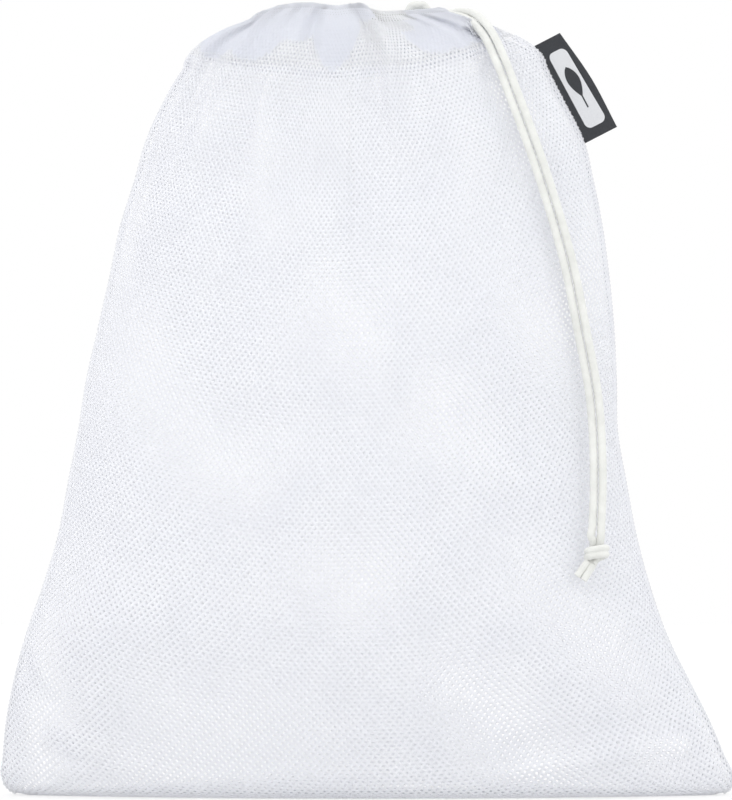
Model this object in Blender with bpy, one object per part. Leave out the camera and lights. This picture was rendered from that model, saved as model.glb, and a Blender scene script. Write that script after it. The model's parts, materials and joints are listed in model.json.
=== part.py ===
"""A drawstring produce bag of fine knitted mesh, standing in the shape it has when it is full.

Frame, in metres: the origin is on the ground under the middle of the bottom seam, +X runs along the
bag's width to the side that carries the label and the cord's exit, +Y from the front panel to the back
panel, +Z up. Cloth that bends at a moving place is cut there into one rigid solid per moving body.
"""

import math

import bmesh
import bpy
import numpy as np
from mathutils import Matrix, Vector

MM = 0.001

# Driving dimensions. A knot is (height, value), and a smooth curve passes through the knots.
LEFT_EDGE = [(0, 149.5), (31, 147), (64, 139.5), (96, 128.5), (162, 116), (211, 105), (244, 97.6),
             (277, 86), (301, 72), (313, 61)]
RIGHT_EDGE = [(0, 153), (31, 140), (64, 123.5), (96, 113), (145, 104), (195, 101), (230, 97),
              (268, 89), (288, 78.9), (308, 68.3), (313, 65.5)]
HALF_DEPTH = [(0, 45), (45, 56), (90, 59), (140, 57.5), (190, 53), (240, 44.5), (280, 35), (301, 28),
              (313, 19)]
CORNER_HEIGHT = 7
CORNER_INSET = 9
PINCH_HEIGHT = 70           # up to here the section is a pointed lens, and above it an ellipse
PINCH_POWER = 1.6
FLOOR_TAPER_DEG = 9         # keeps the floor's two corners from narrowing to nothing

SPLIT_Z = 190               # where each panel folds when the bag slumps
SHOULDER_Z = 312            # top of the panels, under the hem channels
CLOTH = 0.8
GAP = 0.4
UPPER_INSET = 2.0           # the upper panels slide down inside the lower ones
PANEL_EDGE_Y = 2.6          # the panels stop here, either side of the seam
COLUMNS = 16

SEAM_WIDTH = 1.6
SEAM_THICKNESS = 2.4
FLOOR_SEAM_HALF_LENGTH = 138
FLOOR_SEAM_HALF_WIDTH = 2
FLOOR_SEAM_HEIGHT = 1.2

CHANNEL_LEFT = -46
CHANNEL_RIGHT = 31
CHANNEL_TOP = 325
CHANNEL_THICKNESS = 6
CHANNEL_END_Y = 3.7         # half the distance between the two channels' middles at their ends
CHANNEL_BOW = 9             # how far the channels' middles bow out from their ends
CHANNEL_CHAMFER = 1.6
CHANNEL_FOOT = SHOULDER_Z + 0.6
TACK_REACH = 3.9            # the bar tacks reach this far past the channels' ends
TACK_TOP = 316.8
TACK_HALF_WIDTH = 1.5
SEAM_END_Z = 315.4          # the side seams end against the bar tacks
STITCH_RISE = 3.4           # the hem's stitch line above the panels' top edge

CORD_RADIUS = 1.65
STRAND_OFFSET = 1.8         # half the distance between the two strands
CORD_Z = 320.5
THREAD_RADIUS = 0.3
THREAD_CLEARANCE = 0.35     # between a thread and the cloth that it is drawn on

# Middle of the pair of strands, from the exit to the shoulder's edge, and from there to the knot.
SHOULDER_PATH = [(33.2, 0, 320.5), (38.5, -3.0, 320), (43.8, -10.5, 318.2), (49.6, -18.8, 311.5),
                 (56, -26.2, 297.5)]
TAIL_PATH = [(56, -26.2, 297.5), (71, -34.5, 256), (82.4, -35.5, 217), (87.7, -35.5, 190.6),
             (92.8, -34.5, 162), (94.3, -38, 129), (93.4, -41.7, 104.6)]
KNOT_CENTRE = (93.3, -42.2, 99.8)
KNOT_RADII = (5.2, 4.4, 3.4)
KNOT_WAIST = 0.12           # how much narrower the knot is where the cord wraps round itself
END_TIP = (87.3, -43.2, 90.0)
END_START = 5.3             # the cord's two ends start this far from the knot's middle
END_THINNING = 0.1
END_SPREAD = 1.1            # the ends spread apart by this factor at their tips

LABEL_TOP = (69.0, 307)
LABEL_BOTTOM = (89.6, 267)
LABEL_WIDTHS = (11.8, 14.8, 15)
LABEL_THICKNESS = 1.0


def smooth(knots, height):
    """The value at a height, on a smooth curve through the knots."""
    heights, values = np.array(knots, dtype=float).T
    slopes = np.gradient(values, heights)
    i = int(np.clip(np.searchsorted(heights, height) - 1, 0, len(heights) - 2))
    step = heights[i + 1] - heights[i]
    t = (height - heights[i]) / step
    start = (2 * t**3 - 3 * t**2 + 1) * values[i] + (t**3 - 2 * t**2 + t) * step * slopes[i]
    end = (3 * t**2 - 2 * t**3) * values[i + 1] + (t**3 - t**2) * step * slopes[i + 1]
    return start + end


def corner_inset(z):
    """How far the rounded bottom corner draws the wall in."""
    drop = max(0.0, 1 - z / CORNER_HEIGHT)
    return CORNER_INSET * (1 - math.sqrt(1 - drop**2))


def left_edge(z):
    return smooth(LEFT_EDGE, z) - corner_inset(z)


def right_edge(z):
    return smooth(RIGHT_EDGE, z) - corner_inset(z)


def half_depth(z):
    return smooth(HALF_DEPTH, z) - corner_inset(z)


def section_point(z, turn, side, inset=0.0):
    """A point on the bag's section. turn runs 0 to 1 from the right seam to the left seam."""
    left = left_edge(z) - inset
    right = right_edge(z) - inset
    taper = math.radians(FLOOR_TAPER_DEG) * max(0.0, 1 - z / CORNER_HEIGHT)
    angle = taper + (math.pi - 2 * taper) * turn
    power = 1 + (PINCH_POWER - 1) * max(0.0, 1 - z / PINCH_HEIGHT)
    bulge = (half_depth(z) - inset - PANEL_EDGE_Y) * math.sin(angle) ** power
    x = (right - left) / 2 + (right + left) / 2 * math.cos(angle)
    return x, side * (PANEL_EDGE_Y + bulge), z


def material(name, colour, roughness):
    made = bpy.data.materials.new(name)
    made.use_nodes = True
    shader = made.node_tree.nodes["Principled BSDF"]
    shader.inputs["Base Color"].default_value = (*colour, 1)
    shader.inputs["Roughness"].default_value = roughness
    shader.inputs["Metallic"].default_value = 0
    made.diffuse_color = (*colour, 1)
    return made


def empty(name, place_mm, parent=None):
    """An empty on a joint's axis. What moves with the joint is parented to it."""
    made = bpy.data.objects.new(name, None)
    made.matrix_world = Matrix.Translation(Vector(place_mm) * MM)
    bpy.context.scene.collection.objects.link(made)
    if parent:
        made.parent = parent
        made.matrix_parent_inverse = parent.matrix_world.inverted()
    return made


def place(made, look, parent):
    bpy.context.scene.collection.objects.link(made)
    made.data.materials.append(look)
    if parent:
        made.parent = parent
        made.matrix_parent_inverse = parent.matrix_world.inverted()
    return made


def mesh_object(name, points_mm, faces, look, parent=None):
    mesh = bpy.data.meshes.new(name)
    mesh.from_pydata([Vector(p) * MM for p in points_mm], [], faces)
    mesh.validate()
    mesh.shade_smooth()
    mesh.set_sharp_from_angle(angle=math.radians(35))
    return place(bpy.data.objects.new(name, mesh), look, parent)


def ring_faces(rings, size, closed_ends=True):
    """Faces that join successive closed rings of points, with the two ends capped."""
    faces = []
    for r in range(rings - 1):
        for i in range(size):
            j = (i + 1) % size
            faces.append((r * size + i, (r + 1) * size + i, (r + 1) * size + j, r * size + j))
    if closed_ends:
        faces.append(tuple(range(size)))
        faces.append(tuple(reversed(range((rings - 1) * size, rings * size))))
    return faces


def panel(name, side, rows, look, parent=None):
    """One sheet through rows of points, thickened inwards. side is -1 in front and 1 at the back."""
    columns = len(rows[0])
    faces = []
    for r in range(len(rows) - 1):
        for i in range(columns - 1):
            corner = r * columns + i
            face = (corner, corner + 1, corner + columns + 1, corner + columns)
            faces.append(face if side > 0 else tuple(reversed(face)))
    made = mesh_object(name, [p for row in rows for p in row], faces, look, parent)
    thick = made.modifiers.new("thickness", "SOLIDIFY")
    thick.thickness = CLOTH * MM
    thick.offset = -1
    thick.use_even_offset = True
    thick.use_quality_normals = True
    return made


def lower_rows(side):
    """The floor from the bottom seam out to the wall, then the wall up to the fold."""
    turns = [i / COLUMNS for i in range(COLUMNS + 1)]
    base = [section_point(0, t, side) for t in turns]
    rows = []
    for share in (0, 0.4, 0.75):
        rows.append([(x, side * PANEL_EDGE_Y + share * (y - side * PANEL_EDGE_Y), 0) for x, y, _ in base])
    heights = [0, 1, 3, CORNER_HEIGHT, 16, 30, 46, 64, 84, 106, 128, 149, 170, SPLIT_Z]
    return rows + [[section_point(z, t, side) for t in turns] for z in heights]


def upper_rows(side):
    turns = [i / COLUMNS for i in range(COLUMNS + 1)]
    heights = [SPLIT_Z + GAP, 212, 233, 252, 269, 284, 296, 305, SHOULDER_Z]
    return [[section_point(z, t, side, UPPER_INSET) for t in turns] for z in heights]


def strip(name, path, look, parent=None):
    """A flat strip along a path in the seam plane, from its outer edge inwards."""
    rings = []
    for i, (x, z) in enumerate(path):
        before = Vector(path[max(i - 1, 0)])
        after = Vector(path[min(i + 1, len(path) - 1)])
        run = (after - before).normalized()
        inward = Vector((-run.y, run.x)) * SEAM_WIDTH
        if inward.x * x > 0:
            inward = -inward
        half = SEAM_THICKNESS / 2
        rings.append([(x, -half, z), (x, half, z), (x + inward.x, half, z + inward.y),
                      (x + inward.x, -half, z + inward.y)])
    points = [p for ring in rings for p in ring]
    return facing_out(mesh_object(name, points, ring_faces(len(rings), 4), look, parent))


def facing_out(made):
    """Turn a closed body's faces outwards."""
    work = bmesh.new()
    work.from_mesh(made.data)
    bmesh.ops.recalc_face_normals(work, faces=work.faces)
    work.to_mesh(made.data)
    work.free()
    return made


def box(name, low, high, look, parent=None):
    points = [(x, y, z) for z in (low[2], high[2]) for x, y in
              ((low[0], low[1]), (high[0], low[1]), (high[0], high[1]), (low[0], high[1]))]
    return facing_out(mesh_object(name, points, ring_faces(2, 4), look, parent))


def channel_y(x, side):
    """The middle of a hem channel."""
    middle = (CHANNEL_LEFT + CHANNEL_RIGHT) / 2
    share = (x - middle) / (CHANNEL_RIGHT - middle)
    return side * (CHANNEL_END_Y + CHANNEL_BOW * (1 - share**2))


def channel_loop(half, low, high, chamfer):
    """A chamfered rectangle in the plane across the channel, as (offset from the middle, height)."""
    return [(-half, low + chamfer), (-half, high - chamfer), (-half + chamfer, high),
            (half - chamfer, high), (half, high - chamfer), (half, low + chamfer),
            (half - chamfer, low), (-half + chamfer, low)]


def hem_channel(name, side, look, parent):
    """A tunnel of cloth, open at both ends."""
    stations = np.linspace(CHANNEL_LEFT, CHANNEL_RIGHT, 13)
    outer = channel_loop(CHANNEL_THICKNESS / 2, CHANNEL_FOOT, CHANNEL_TOP, CHANNEL_CHAMFER)
    inner = channel_loop(CHANNEL_THICKNESS / 2 - CLOTH, CHANNEL_FOOT + CLOTH, CHANNEL_TOP - CLOTH,
                         CHANNEL_CHAMFER - CLOTH / 2)
    size = len(outer)
    points = []
    for loop in (outer, inner):
        for x in stations:
            points += [(x, channel_y(x, side) + dy, z) for dy, z in loop]
    skin = ring_faces(len(stations), size, closed_ends=False)
    shift = len(stations) * size
    faces = skin + [tuple(reversed([v + shift for v in face])) for face in skin]
    last = (len(stations) - 1) * size
    for i in range(size):
        j = (i + 1) % size
        faces.append((i, j, j + shift, i + shift))
        faces.append((last + j, last + i, last + i + shift, last + j + shift))
    return facing_out(mesh_object(name, points, faces, look, parent))


def cord(name, path, radius, look, parent=None, resolution=2):
    """A round cord along a path."""
    curve = bpy.data.curves.new(name, "CURVE")
    curve.dimensions = "3D"
    curve.bevel_depth = radius * MM
    curve.bevel_resolution = resolution
    curve.use_fill_caps = True
    line = curve.splines.new("POLY")
    line.points.add(len(path) - 1)
    for point, place_mm in zip(line.points, path):
        point.co = (*(Vector(place_mm) * MM), 1)
        point.radius = 1
    line.use_smooth = True
    return place(bpy.data.objects.new(name, curve), look, parent)


def curve_through(path, steps):
    """Points along a smooth curve through the path's points, steps to each stretch."""
    points = np.array(path, dtype=float)
    lengths = np.concatenate(([0], np.cumsum(np.linalg.norm(np.diff(points, axis=0), axis=1))))
    knots = [list(zip(lengths, points[:, axis])) for axis in range(3)]
    distances = []
    for start, end in zip(lengths, lengths[1:]):
        distances += list(np.linspace(start, end, steps, endpoint=False))
    distances.append(lengths[-1])
    return [Vector([smooth(k, d) for k in knots]) for d in distances]


def strand_pair(path, steps, spread_at_start, lying_on_top):
    """Two strands side by side on the bag's surface. Where the pair leaves the rim it lies on top."""
    centre = curve_through(path, steps)
    pair = ([], [])
    for i, point in enumerate(centre):
        run = (centre[min(i + 1, len(centre) - 1)] - centre[max(i - 1, 0)]).normalized()
        share = min(1.0, i / lying_on_top) if lying_on_top else 1.0
        outward = Vector((0, -share, 1 - share)).normalized()
        across = run.cross(outward).normalized()
        offset = STRAND_OFFSET + max(0.0, 1 - i / 3) * spread_at_start
        pair[0].append(point + across * offset)
        pair[1].append(point - across * offset)
    return pair


def zigzag(path, along, height):
    """A thread that crosses a seam line from side to side."""
    return [Vector(p) + Vector(along) * (height if i % 2 else -height) for i, p in enumerate(path)]


def knot(name, look, parent):
    """The overhand knot, as a rounded lump with a waist where the cord wraps round itself."""
    rings, size = 9, 12
    points = []
    for r in range(rings):
        polar = math.pi * (r + 0.5) / rings
        waist = 1 - KNOT_WAIST * math.exp(-((r - (rings - 1) / 2) / 0.8) ** 2)
        for i in range(size):
            turn = 2 * math.pi * i / size
            points.append((KNOT_CENTRE[0] + KNOT_RADII[0] * waist * math.sin(polar) * math.cos(turn),
                           KNOT_CENTRE[1] + KNOT_RADII[1] * waist * math.sin(polar) * math.sin(turn),
                           KNOT_CENTRE[2] + KNOT_RADII[2] * math.cos(polar)))
    return facing_out(mesh_object(name, points, ring_faces(rings, size), look, parent))


def label(name, look, parent):
    """A folded tape whose inner edge is the line it turns about and whose outer edge is bowed."""
    top = Vector((LABEL_TOP[0], 0, LABEL_TOP[1]))
    bottom = Vector((LABEL_BOTTOM[0], 0, LABEL_BOTTOM[1]))
    outward = Vector((top.z - bottom.z, 0, bottom.x - top.x)).normalized()
    outline = [top, bottom, bottom + outward * LABEL_WIDTHS[2]]
    outline.append((top + bottom) / 2 + outward * LABEL_WIDTHS[1])
    outline.append(top + outward * LABEL_WIDTHS[0])
    half = Vector((0, LABEL_THICKNESS / 2, 0))
    points = [p - half for p in outline] + [p + half for p in outline]
    return facing_out(mesh_object(name, points, ring_faces(2, len(outline)), look, parent))


def seam_path(edge, sign, low, high, inset):
    count = max(4, int((high - low) / 16))
    return [(sign * (edge(z) - inset), z) for z in np.linspace(low, high, count)]


def upper_seam_path(edge, sign, end):
    """Up the side and over the shoulder to the bar tack."""
    rise = seam_path(edge, sign, SPLIT_Z + GAP, LABEL_TOP[1] - 1, UPPER_INSET)
    return rise + [(sign * 58, 312), (sign * 53, 314.5), (end, SEAM_END_Z)]


def build():
    for old in list(bpy.data.objects):
        bpy.data.objects.remove(old)
    mesh_white = material("knitted_mesh", (0.90, 0.91, 0.93), 0.85)
    seam_white = material("seam_overlock", (0.86, 0.87, 0.90), 0.85)
    thread_white = material("thread", (0.93, 0.93, 0.94), 0.6)
    hem_white = material("hem_cloth", (0.84, 0.86, 0.89), 0.85)
    ivory = material("cord_ivory", (0.87, 0.86, 0.80), 0.9)
    charcoal = material("label_charcoal", (0.045, 0.047, 0.055), 0.75)

    panel("front_panel_lower", -1, lower_rows(-1), mesh_white)
    panel("back_panel_lower", 1, lower_rows(1), mesh_white)
    strip("left_side_seam_lower", seam_path(left_edge, -1, 1.8, SPLIT_Z, 0), seam_white)
    strip("right_side_seam_lower", seam_path(right_edge, 1, 1.8, SPLIT_Z, 0), seam_white)
    box("bottom_seam", (-FLOOR_SEAM_HALF_LENGTH, -FLOOR_SEAM_HALF_WIDTH, 0),
        (FLOOR_SEAM_HALF_LENGTH, FLOOR_SEAM_HALF_WIDTH, FLOOR_SEAM_HEIGHT), seam_white)
    reach = FLOOR_SEAM_HALF_LENGTH - 4
    height = FLOOR_SEAM_HEIGHT + THREAD_CLEARANCE + THREAD_RADIUS
    floor_line = [(x, 0, height) for x in np.linspace(-reach, reach, 60)]
    cord("bottom_seam_thread", zigzag(floor_line, (0, 1, 0), 1.4), THREAD_RADIUS, thread_white, resolution=0)

    upper = empty("upper_bag_axis", (0, 0, SPLIT_Z))
    panel("front_panel_upper", -1, upper_rows(-1), mesh_white, upper)
    panel("back_panel_upper", 1, upper_rows(1), mesh_white, upper)
    sides = (("left", -1, left_edge, CHANNEL_LEFT), ("right", 1, right_edge, CHANNEL_RIGHT))
    for end, sign, edge, mouth in sides:
        seam_end = mouth + sign * (TACK_REACH + 0.7)
        strip(end + "_side_seam_upper", upper_seam_path(edge, sign, seam_end), seam_white, upper)
        near, far = sorted((mouth + sign * GAP, mouth + sign * (TACK_REACH - GAP)))
        box(end + "_bar_tack", (near, -TACK_HALF_WIDTH, CHANNEL_FOOT), (far, TACK_HALF_WIDTH, TACK_TOP),
            thread_white, upper)
    bend = [(CHANNEL_LEFT - 0.5 - CHANNEL_END_Y * math.sin(a), -CHANNEL_END_Y * math.cos(a), CORD_Z)
            for a in np.linspace(0, math.pi, 9)]
    cord("drawcord_left_bend", bend, CORD_RADIUS, ivory, upper)
    catch = seam_path(right_edge, 1, LABEL_BOTTOM[1] + 1, LABEL_TOP[1] - 1, UPPER_INSET - 0.7)
    catch_line = curve_through([(x, 0, z) for x, z in catch], 6)
    cord("label_stitching", zigzag(catch_line, (0, 1, 0), 0.8), THREAD_RADIUS, thread_white, upper,
         resolution=0)

    for end, side in (("front", -1), ("back", 1)):
        rim = empty(end + "_rim_axis", (0, side * CHANNEL_END_Y, CHANNEL_TOP), upper)
        hem_channel(end + "_hem_channel", side, hem_white, rim)
        xs = np.linspace(CHANNEL_LEFT + 1, CHANNEL_RIGHT - 1, 34)
        out = side * (CHANNEL_THICKNESS / 2 + THREAD_CLEARANCE + THREAD_RADIUS)
        seam_line = [(x, channel_y(x, side) + out, SHOULDER_Z + STITCH_RISE) for x in xs]
        cord(end + "_hem_stitching", zigzag(seam_line, (0, 0, 1), 0.7), THREAD_RADIUS,
             thread_white, rim, resolution=0)
        run = [(x, channel_y(x, side), CORD_Z)
               for x in np.linspace(CHANNEL_LEFT + 0.3, CHANNEL_RIGHT - 0.3, 15)]
        cord("drawcord_" + end + "_run", run, CORD_RADIUS, ivory, rim)

    turn_line = empty("side_label_axis", (LABEL_TOP[0], 0, LABEL_TOP[1]), upper)
    label("side_label", charcoal, turn_line)

    lift = empty("cord_lift_axis", SHOULDER_PATH[0], upper)
    names = ("front", "back")
    pair = strand_pair(SHOULDER_PATH, 3, CHANNEL_END_Y - STRAND_OFFSET, 7)
    for end, path in zip(names, pair):
        cord("cord_shoulder_strand_" + end, path[:-1], CORD_RADIUS, ivory, lift)
    lean = empty("cord_lean_axis", TAIL_PATH[0], lift)
    pair = strand_pair(TAIL_PATH, 4, 0, 0)
    for end, path in zip(names, pair):
        cord("cord_tail_strand_" + end, path, CORD_RADIUS, ivory, lean)
    draw = empty("cord_knot_axis", KNOT_CENTRE, lean)
    knot("cord_knot", ivory, draw)
    run = (Vector(END_TIP) - Vector(KNOT_CENTRE)).normalized()
    across = run.cross(Vector((0, -1, 0))).normalized() * (STRAND_OFFSET - 0.05)
    start = Vector(KNOT_CENTRE) + run * END_START
    for end, sign in (("left", 1), ("right", -1)):
        path = [start + across * sign, Vector(END_TIP) + across * sign * END_SPREAD]
        cord("cord_end_" + end, path, CORD_RADIUS - END_THINNING, ivory, draw)


build()
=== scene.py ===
"""The looks of a mesh produce bag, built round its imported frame.

The cloth is real geometry. Every hole of the knitted mesh is open, and the cloth between the holes is a
closed, lens-shaped strand. Lengths are in millimetres until a mesh is made. The front panel is on side -1
(-Y) and the back panel on side 1. A panel's cloth has two coordinates, seen from outside the bag: a column
that runs from its left seam to its right seam, and a row that runs from the bottom seam to the rim.
"""

import json
import math

import bmesh
import bpy
import numpy as np
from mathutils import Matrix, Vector


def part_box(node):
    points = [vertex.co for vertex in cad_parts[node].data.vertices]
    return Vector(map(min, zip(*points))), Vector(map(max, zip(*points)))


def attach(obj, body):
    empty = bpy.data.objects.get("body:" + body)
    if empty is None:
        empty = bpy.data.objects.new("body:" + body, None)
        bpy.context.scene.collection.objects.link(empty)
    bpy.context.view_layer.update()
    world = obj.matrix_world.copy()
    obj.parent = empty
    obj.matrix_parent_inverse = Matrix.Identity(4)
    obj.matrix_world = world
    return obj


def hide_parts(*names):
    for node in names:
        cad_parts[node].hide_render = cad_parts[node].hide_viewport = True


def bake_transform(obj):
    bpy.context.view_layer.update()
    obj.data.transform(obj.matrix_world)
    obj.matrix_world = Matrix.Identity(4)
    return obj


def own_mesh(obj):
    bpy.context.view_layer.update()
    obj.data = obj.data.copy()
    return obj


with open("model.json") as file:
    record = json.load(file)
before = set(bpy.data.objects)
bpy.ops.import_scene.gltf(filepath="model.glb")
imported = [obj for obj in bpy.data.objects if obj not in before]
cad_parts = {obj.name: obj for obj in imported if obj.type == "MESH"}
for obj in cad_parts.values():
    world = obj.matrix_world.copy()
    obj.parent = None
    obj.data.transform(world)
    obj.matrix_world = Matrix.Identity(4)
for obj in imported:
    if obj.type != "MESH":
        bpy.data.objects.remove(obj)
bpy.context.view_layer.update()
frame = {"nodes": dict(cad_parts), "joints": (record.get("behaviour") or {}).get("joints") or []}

MM = 0.001
SEED = 11

# Knitted mesh: holes on a centred lattice, so every other row is shifted by half a column.
COLUMNS = 106
ROWS = 222
ROW_PITCH = 1.69
CELL_TOP = 81               # the cell's upper corner above its centre, in hundredths of a row
CELL_SIDE = 19              # the cell's side corners above its centre, in hundredths of a row
HOLE_SHARE = 0.43           # width of a hole as a share of its cell
HEM_SHUT_SHARE = 0.2        # the same where the hem's cloth is dense
STRAND_THICKNESS = 0.5
STRAND_ROUNDNESS = 0.8      # how far the strands' shading turns into the holes
BORDER_COLUMN = 53.25       # the line where a panel's left and right pieces meet

# Section of the bag. Up to PINCH_HEIGHT it is a pointed lens, and above it an ellipse.
GRID_COLUMNS = 241
GRID_ROWS = 700
PINCH_HEIGHT = 70
PINCH_POWER = 1.6
RIM_POWER = 0.72
SEAM_HALF = 0.6             # each panel starts this far from the seam plane
FLOOR_LIFT = 0.3
UPPER_INSET = 2.0           # the upper CAD panels are this much smaller than the cloth

# The gathered shoulder, from its foot up to the rim, and the tunnel that holds the drawcord.
SHOULDER_FOOT = 298
RIM_Z = 319
RIM_LEFT = 46
RIM_RIGHT = 33
RIM_DEPTH = 14.8
SHOULDER_POWER = 2.0
PROFILE_FOOT = 285          # the rim's ups and downs reach down to here
RIM_PROFILE = [(-46, -1.3), (-38.5, 1.6), (-23, 3.2), (-12, 2.0), (-2, 2.8), (5, 0.1), (14, 0.1),
               (22, 0.6), (33, 1.5)]
TUNNEL_GAP = 4.6            # between the tunnel's outer and inner cloth
TUNNEL_EDGE = 0.9           # the same gap at the hem's lower edge, where the two are sewn together
TUNNEL_MOUTH = 5.2          # how far the front and back cloth part where the cord comes out
MOUTH_REACH = 14            # and how far down from the rim they part
HEM_ROWS = 18
FOLD_ROWS = 4
CORD_RADIUS = 1.65
PRESS_TOP = 319             # above this height the cords do not press the cloth in
PRESS_REACH = 7             # cloth this far in front of a cord is not pushed at all

# Folds at the mouth: place along the rim, height, and how far each one reaches down.
FRONT_FOLDS = [(-46, 0, 40), (-42.5, 0.5, 60), (-39.5, -0.2, 50), (-36, 0.7, 75), (-32.5, -0.4, 55),
               (-29, 0.8, 85), (-25.5, -0.6, 60), (-22, 0.7, 50), (-18.5, -1.1, 45), (-15.5, 0.9, 30),
               (-11, 1.15, 30), (-7, 0.9, 30), (-4.5, -1.1, 40), (-1.2, 1.2, 90), (2, -0.7, 40),
               (5, 0.1, 25), (11, 0.15, 25), (14, -0.4, 35), (17, 0.7, 45), (20.5, -0.1, 40),
               (24.5, 0.5, 55), (28.5, 0, 45), (31.5, 0.2, 40), (33, 0, 40)]
FOLD_HEIGHT = 1.8
# Where the tunnel's two layers hide each other's holes: left, right, and the top and foot below the rim.
# A top of -2 takes in the fold over the rim.
DENSE_CLOTH = [(-50, -33, -2, 32), (-40, -22, -2, 30), (-28, -15, -2, 20), (-17.5, -4.5, -2, 31),
               (-5, 2, -2, 9), (7.5, 20, 14, 29), (12, 24, 6, 30), (17, 34, -2, 31)]
BACK_DENSITY = 0.6

NUB_LEFT, NUB_RIGHT = 15, 28    # the back tunnel ends here, and its cord lies on top of the rim

SPLIT_Z = 190               # the height where the bag folds when it slumps
BLEND_FOOT = 225            # the opening of the mouth starts to reach the cloth here
MOUTH_MIDDLE = -6.5

random = np.random.default_rng(SEED)


# ------------ curves and the frame's own numbers

def smooth_step(t):
    t = np.clip(t, 0, 1)
    return t * t * (3 - 2 * t)


def rise(at, start, stop):
    """Climbs smoothly from 0 at start to 1 at stop."""
    return smooth_step((at - start) / (stop - start))


def smooth(knots, values, at):
    """A smooth curve through (knot, value), at an array of places."""
    knots, values, at = np.asarray(knots, float), np.asarray(values, float), np.asarray(at, float)
    at = np.clip(at, knots[0], knots[-1])
    slopes = np.gradient(values, knots, axis=0)
    i = np.clip(np.searchsorted(knots, at) - 1, 0, len(knots) - 2)
    step = knots[i + 1] - knots[i]
    t = (at - knots[i]) / step
    if values.ndim > 1:
        t, step = t[..., None], step[..., None]
    start = (2 * t**3 - 3 * t**2 + 1) * values[i] + (t**3 - 2 * t**2 + t) * step * slopes[i]
    end = (3 * t**2 - 2 * t**3) * values[i + 1] + (t**3 - t**2) * step * slopes[i + 1]
    return start + end


def waves(knots, values, at):
    """A curve that swings from each value to the next and is level at every knot."""
    i = np.clip(np.searchsorted(knots, at) - 1, 0, len(knots) - 2)
    t = smooth_step((at - knots[i]) / (knots[i + 1] - knots[i]))
    return values[i] + (values[i + 1] - values[i]) * t


def between(at, knots, places):
    """The places at each position, on straight lines from knot to knot."""
    return np.stack([np.interp(at, knots, places[:, axis]) for axis in range(3)], axis=-1)


def unit(v):
    return v / np.maximum(np.linalg.norm(v, axis=-1, keepdims=True), 1e-9)


def distances(places, axis=0):
    """How far each place is from the start of its line, along the line. The lines run along that axis."""
    steps = np.linalg.norm(np.diff(places, axis=axis), axis=-1)
    start = np.zeros_like(steps.take([0], axis))
    return np.concatenate([start, np.cumsum(steps, axis=axis)], axis)


def level(v):
    """The direction's horizontal part, as a unit vector."""
    return unit(v * np.array([1, 1, 0]))


def box_mm(node):
    low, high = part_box(node)
    return np.array(low) / MM, np.array(high) / MM


def points_of(node):
    return np.array([v.co for v in frame["nodes"][node].data.vertices]) / MM


def joint_of(name):
    return next(joint for joint in frame["joints"] if joint["name"] == name)


def joint_place(name):
    return np.array(joint_of(name)["pos_m"]) / MM


def frame_rows():
    """The outer section rows of the CAD's front panels, as (height, left, right, half depth)."""
    rows = []
    for node, inset in (("front_panel_lower", 0.0), ("front_panel_upper", UPPER_INSET)):
        points = points_of(node)
        heights = np.round(points[:, 2], 1)
        for z in np.unique(heights):
            row = points[heights == z]
            places = len(np.unique(np.round(row[:, 0], 1)))
            if places >= 15 and not (rows and z - rows[-1][0] < 0.9):
                rows.append((z, -row[:, 0].min() + inset, row[:, 0].max() + inset,
                             -row[:, 1].min() + inset))
    return np.array(rows)


def centreline(node):
    """The middles of a CAD cord's rings, in order from its upper left end to its lower right end."""
    work = bmesh.new()
    work.from_mesh(frame["nodes"][node].data)
    bmesh.ops.remove_doubles(work, verts=work.verts, dist=0.01 * MM)
    work.normal_update()
    centres = np.array([(v.co - v.normal * CORD_RADIUS * MM) for v in work.verts]) / MM
    work.free()
    order = np.argsort(centres[:, 0] - centres[:, 2])
    rings = [[centres[order[0]]]]
    for i in order[1:]:
        if np.linalg.norm(centres[i] - np.mean(rings[-1], axis=0)) < 1.3:
            rings[-1].append(centres[i])
        else:
            rings.append([centres[i]])
    return np.array([np.mean(ring, axis=0) for ring in rings])


SECTIONS = frame_rows()


def outline(z):
    """Left edge, right edge and half depth of the cloth at each height."""
    below = smooth(SECTIONS[:, 0], SECTIONS[:, 1:], np.minimum(z, SHOULDER_FOOT))
    share = 1 - np.clip((z - SHOULDER_FOOT) / (RIM_Z - SHOULDER_FOOT), 0, 1)**SHOULDER_POWER
    rim = np.array([RIM_LEFT, RIM_RIGHT, RIM_DEPTH])
    return (rim + (below - rim) * share[..., None]).T


# ------------ the sheets of cloth

def normals_of(grid):
    """Unit normals, facing out of the bag."""
    across = np.gradient(grid, axis=1)
    up = np.gradient(grid, axis=0)
    return unit(np.cross(across, up))


def sample(grid, column, row):
    """The grid's value at fractions of its width and height."""
    rows, columns = grid.shape[:2]
    x = np.clip(column, 0, 1) * (columns - 1)
    y = np.clip(row, 0, 1) * (rows - 1)
    i = np.minimum(x.astype(int), columns - 2)
    j = np.minimum(y.astype(int), rows - 2)
    fx, fy = (x - i)[..., None], (y - j)[..., None]
    low = grid[j, i] * (1 - fx) + grid[j, i + 1] * fx
    high = grid[j + 1, i] * (1 - fx) + grid[j + 1, i + 1] * fx
    return low * (1 - fy) + high * fy


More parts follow.
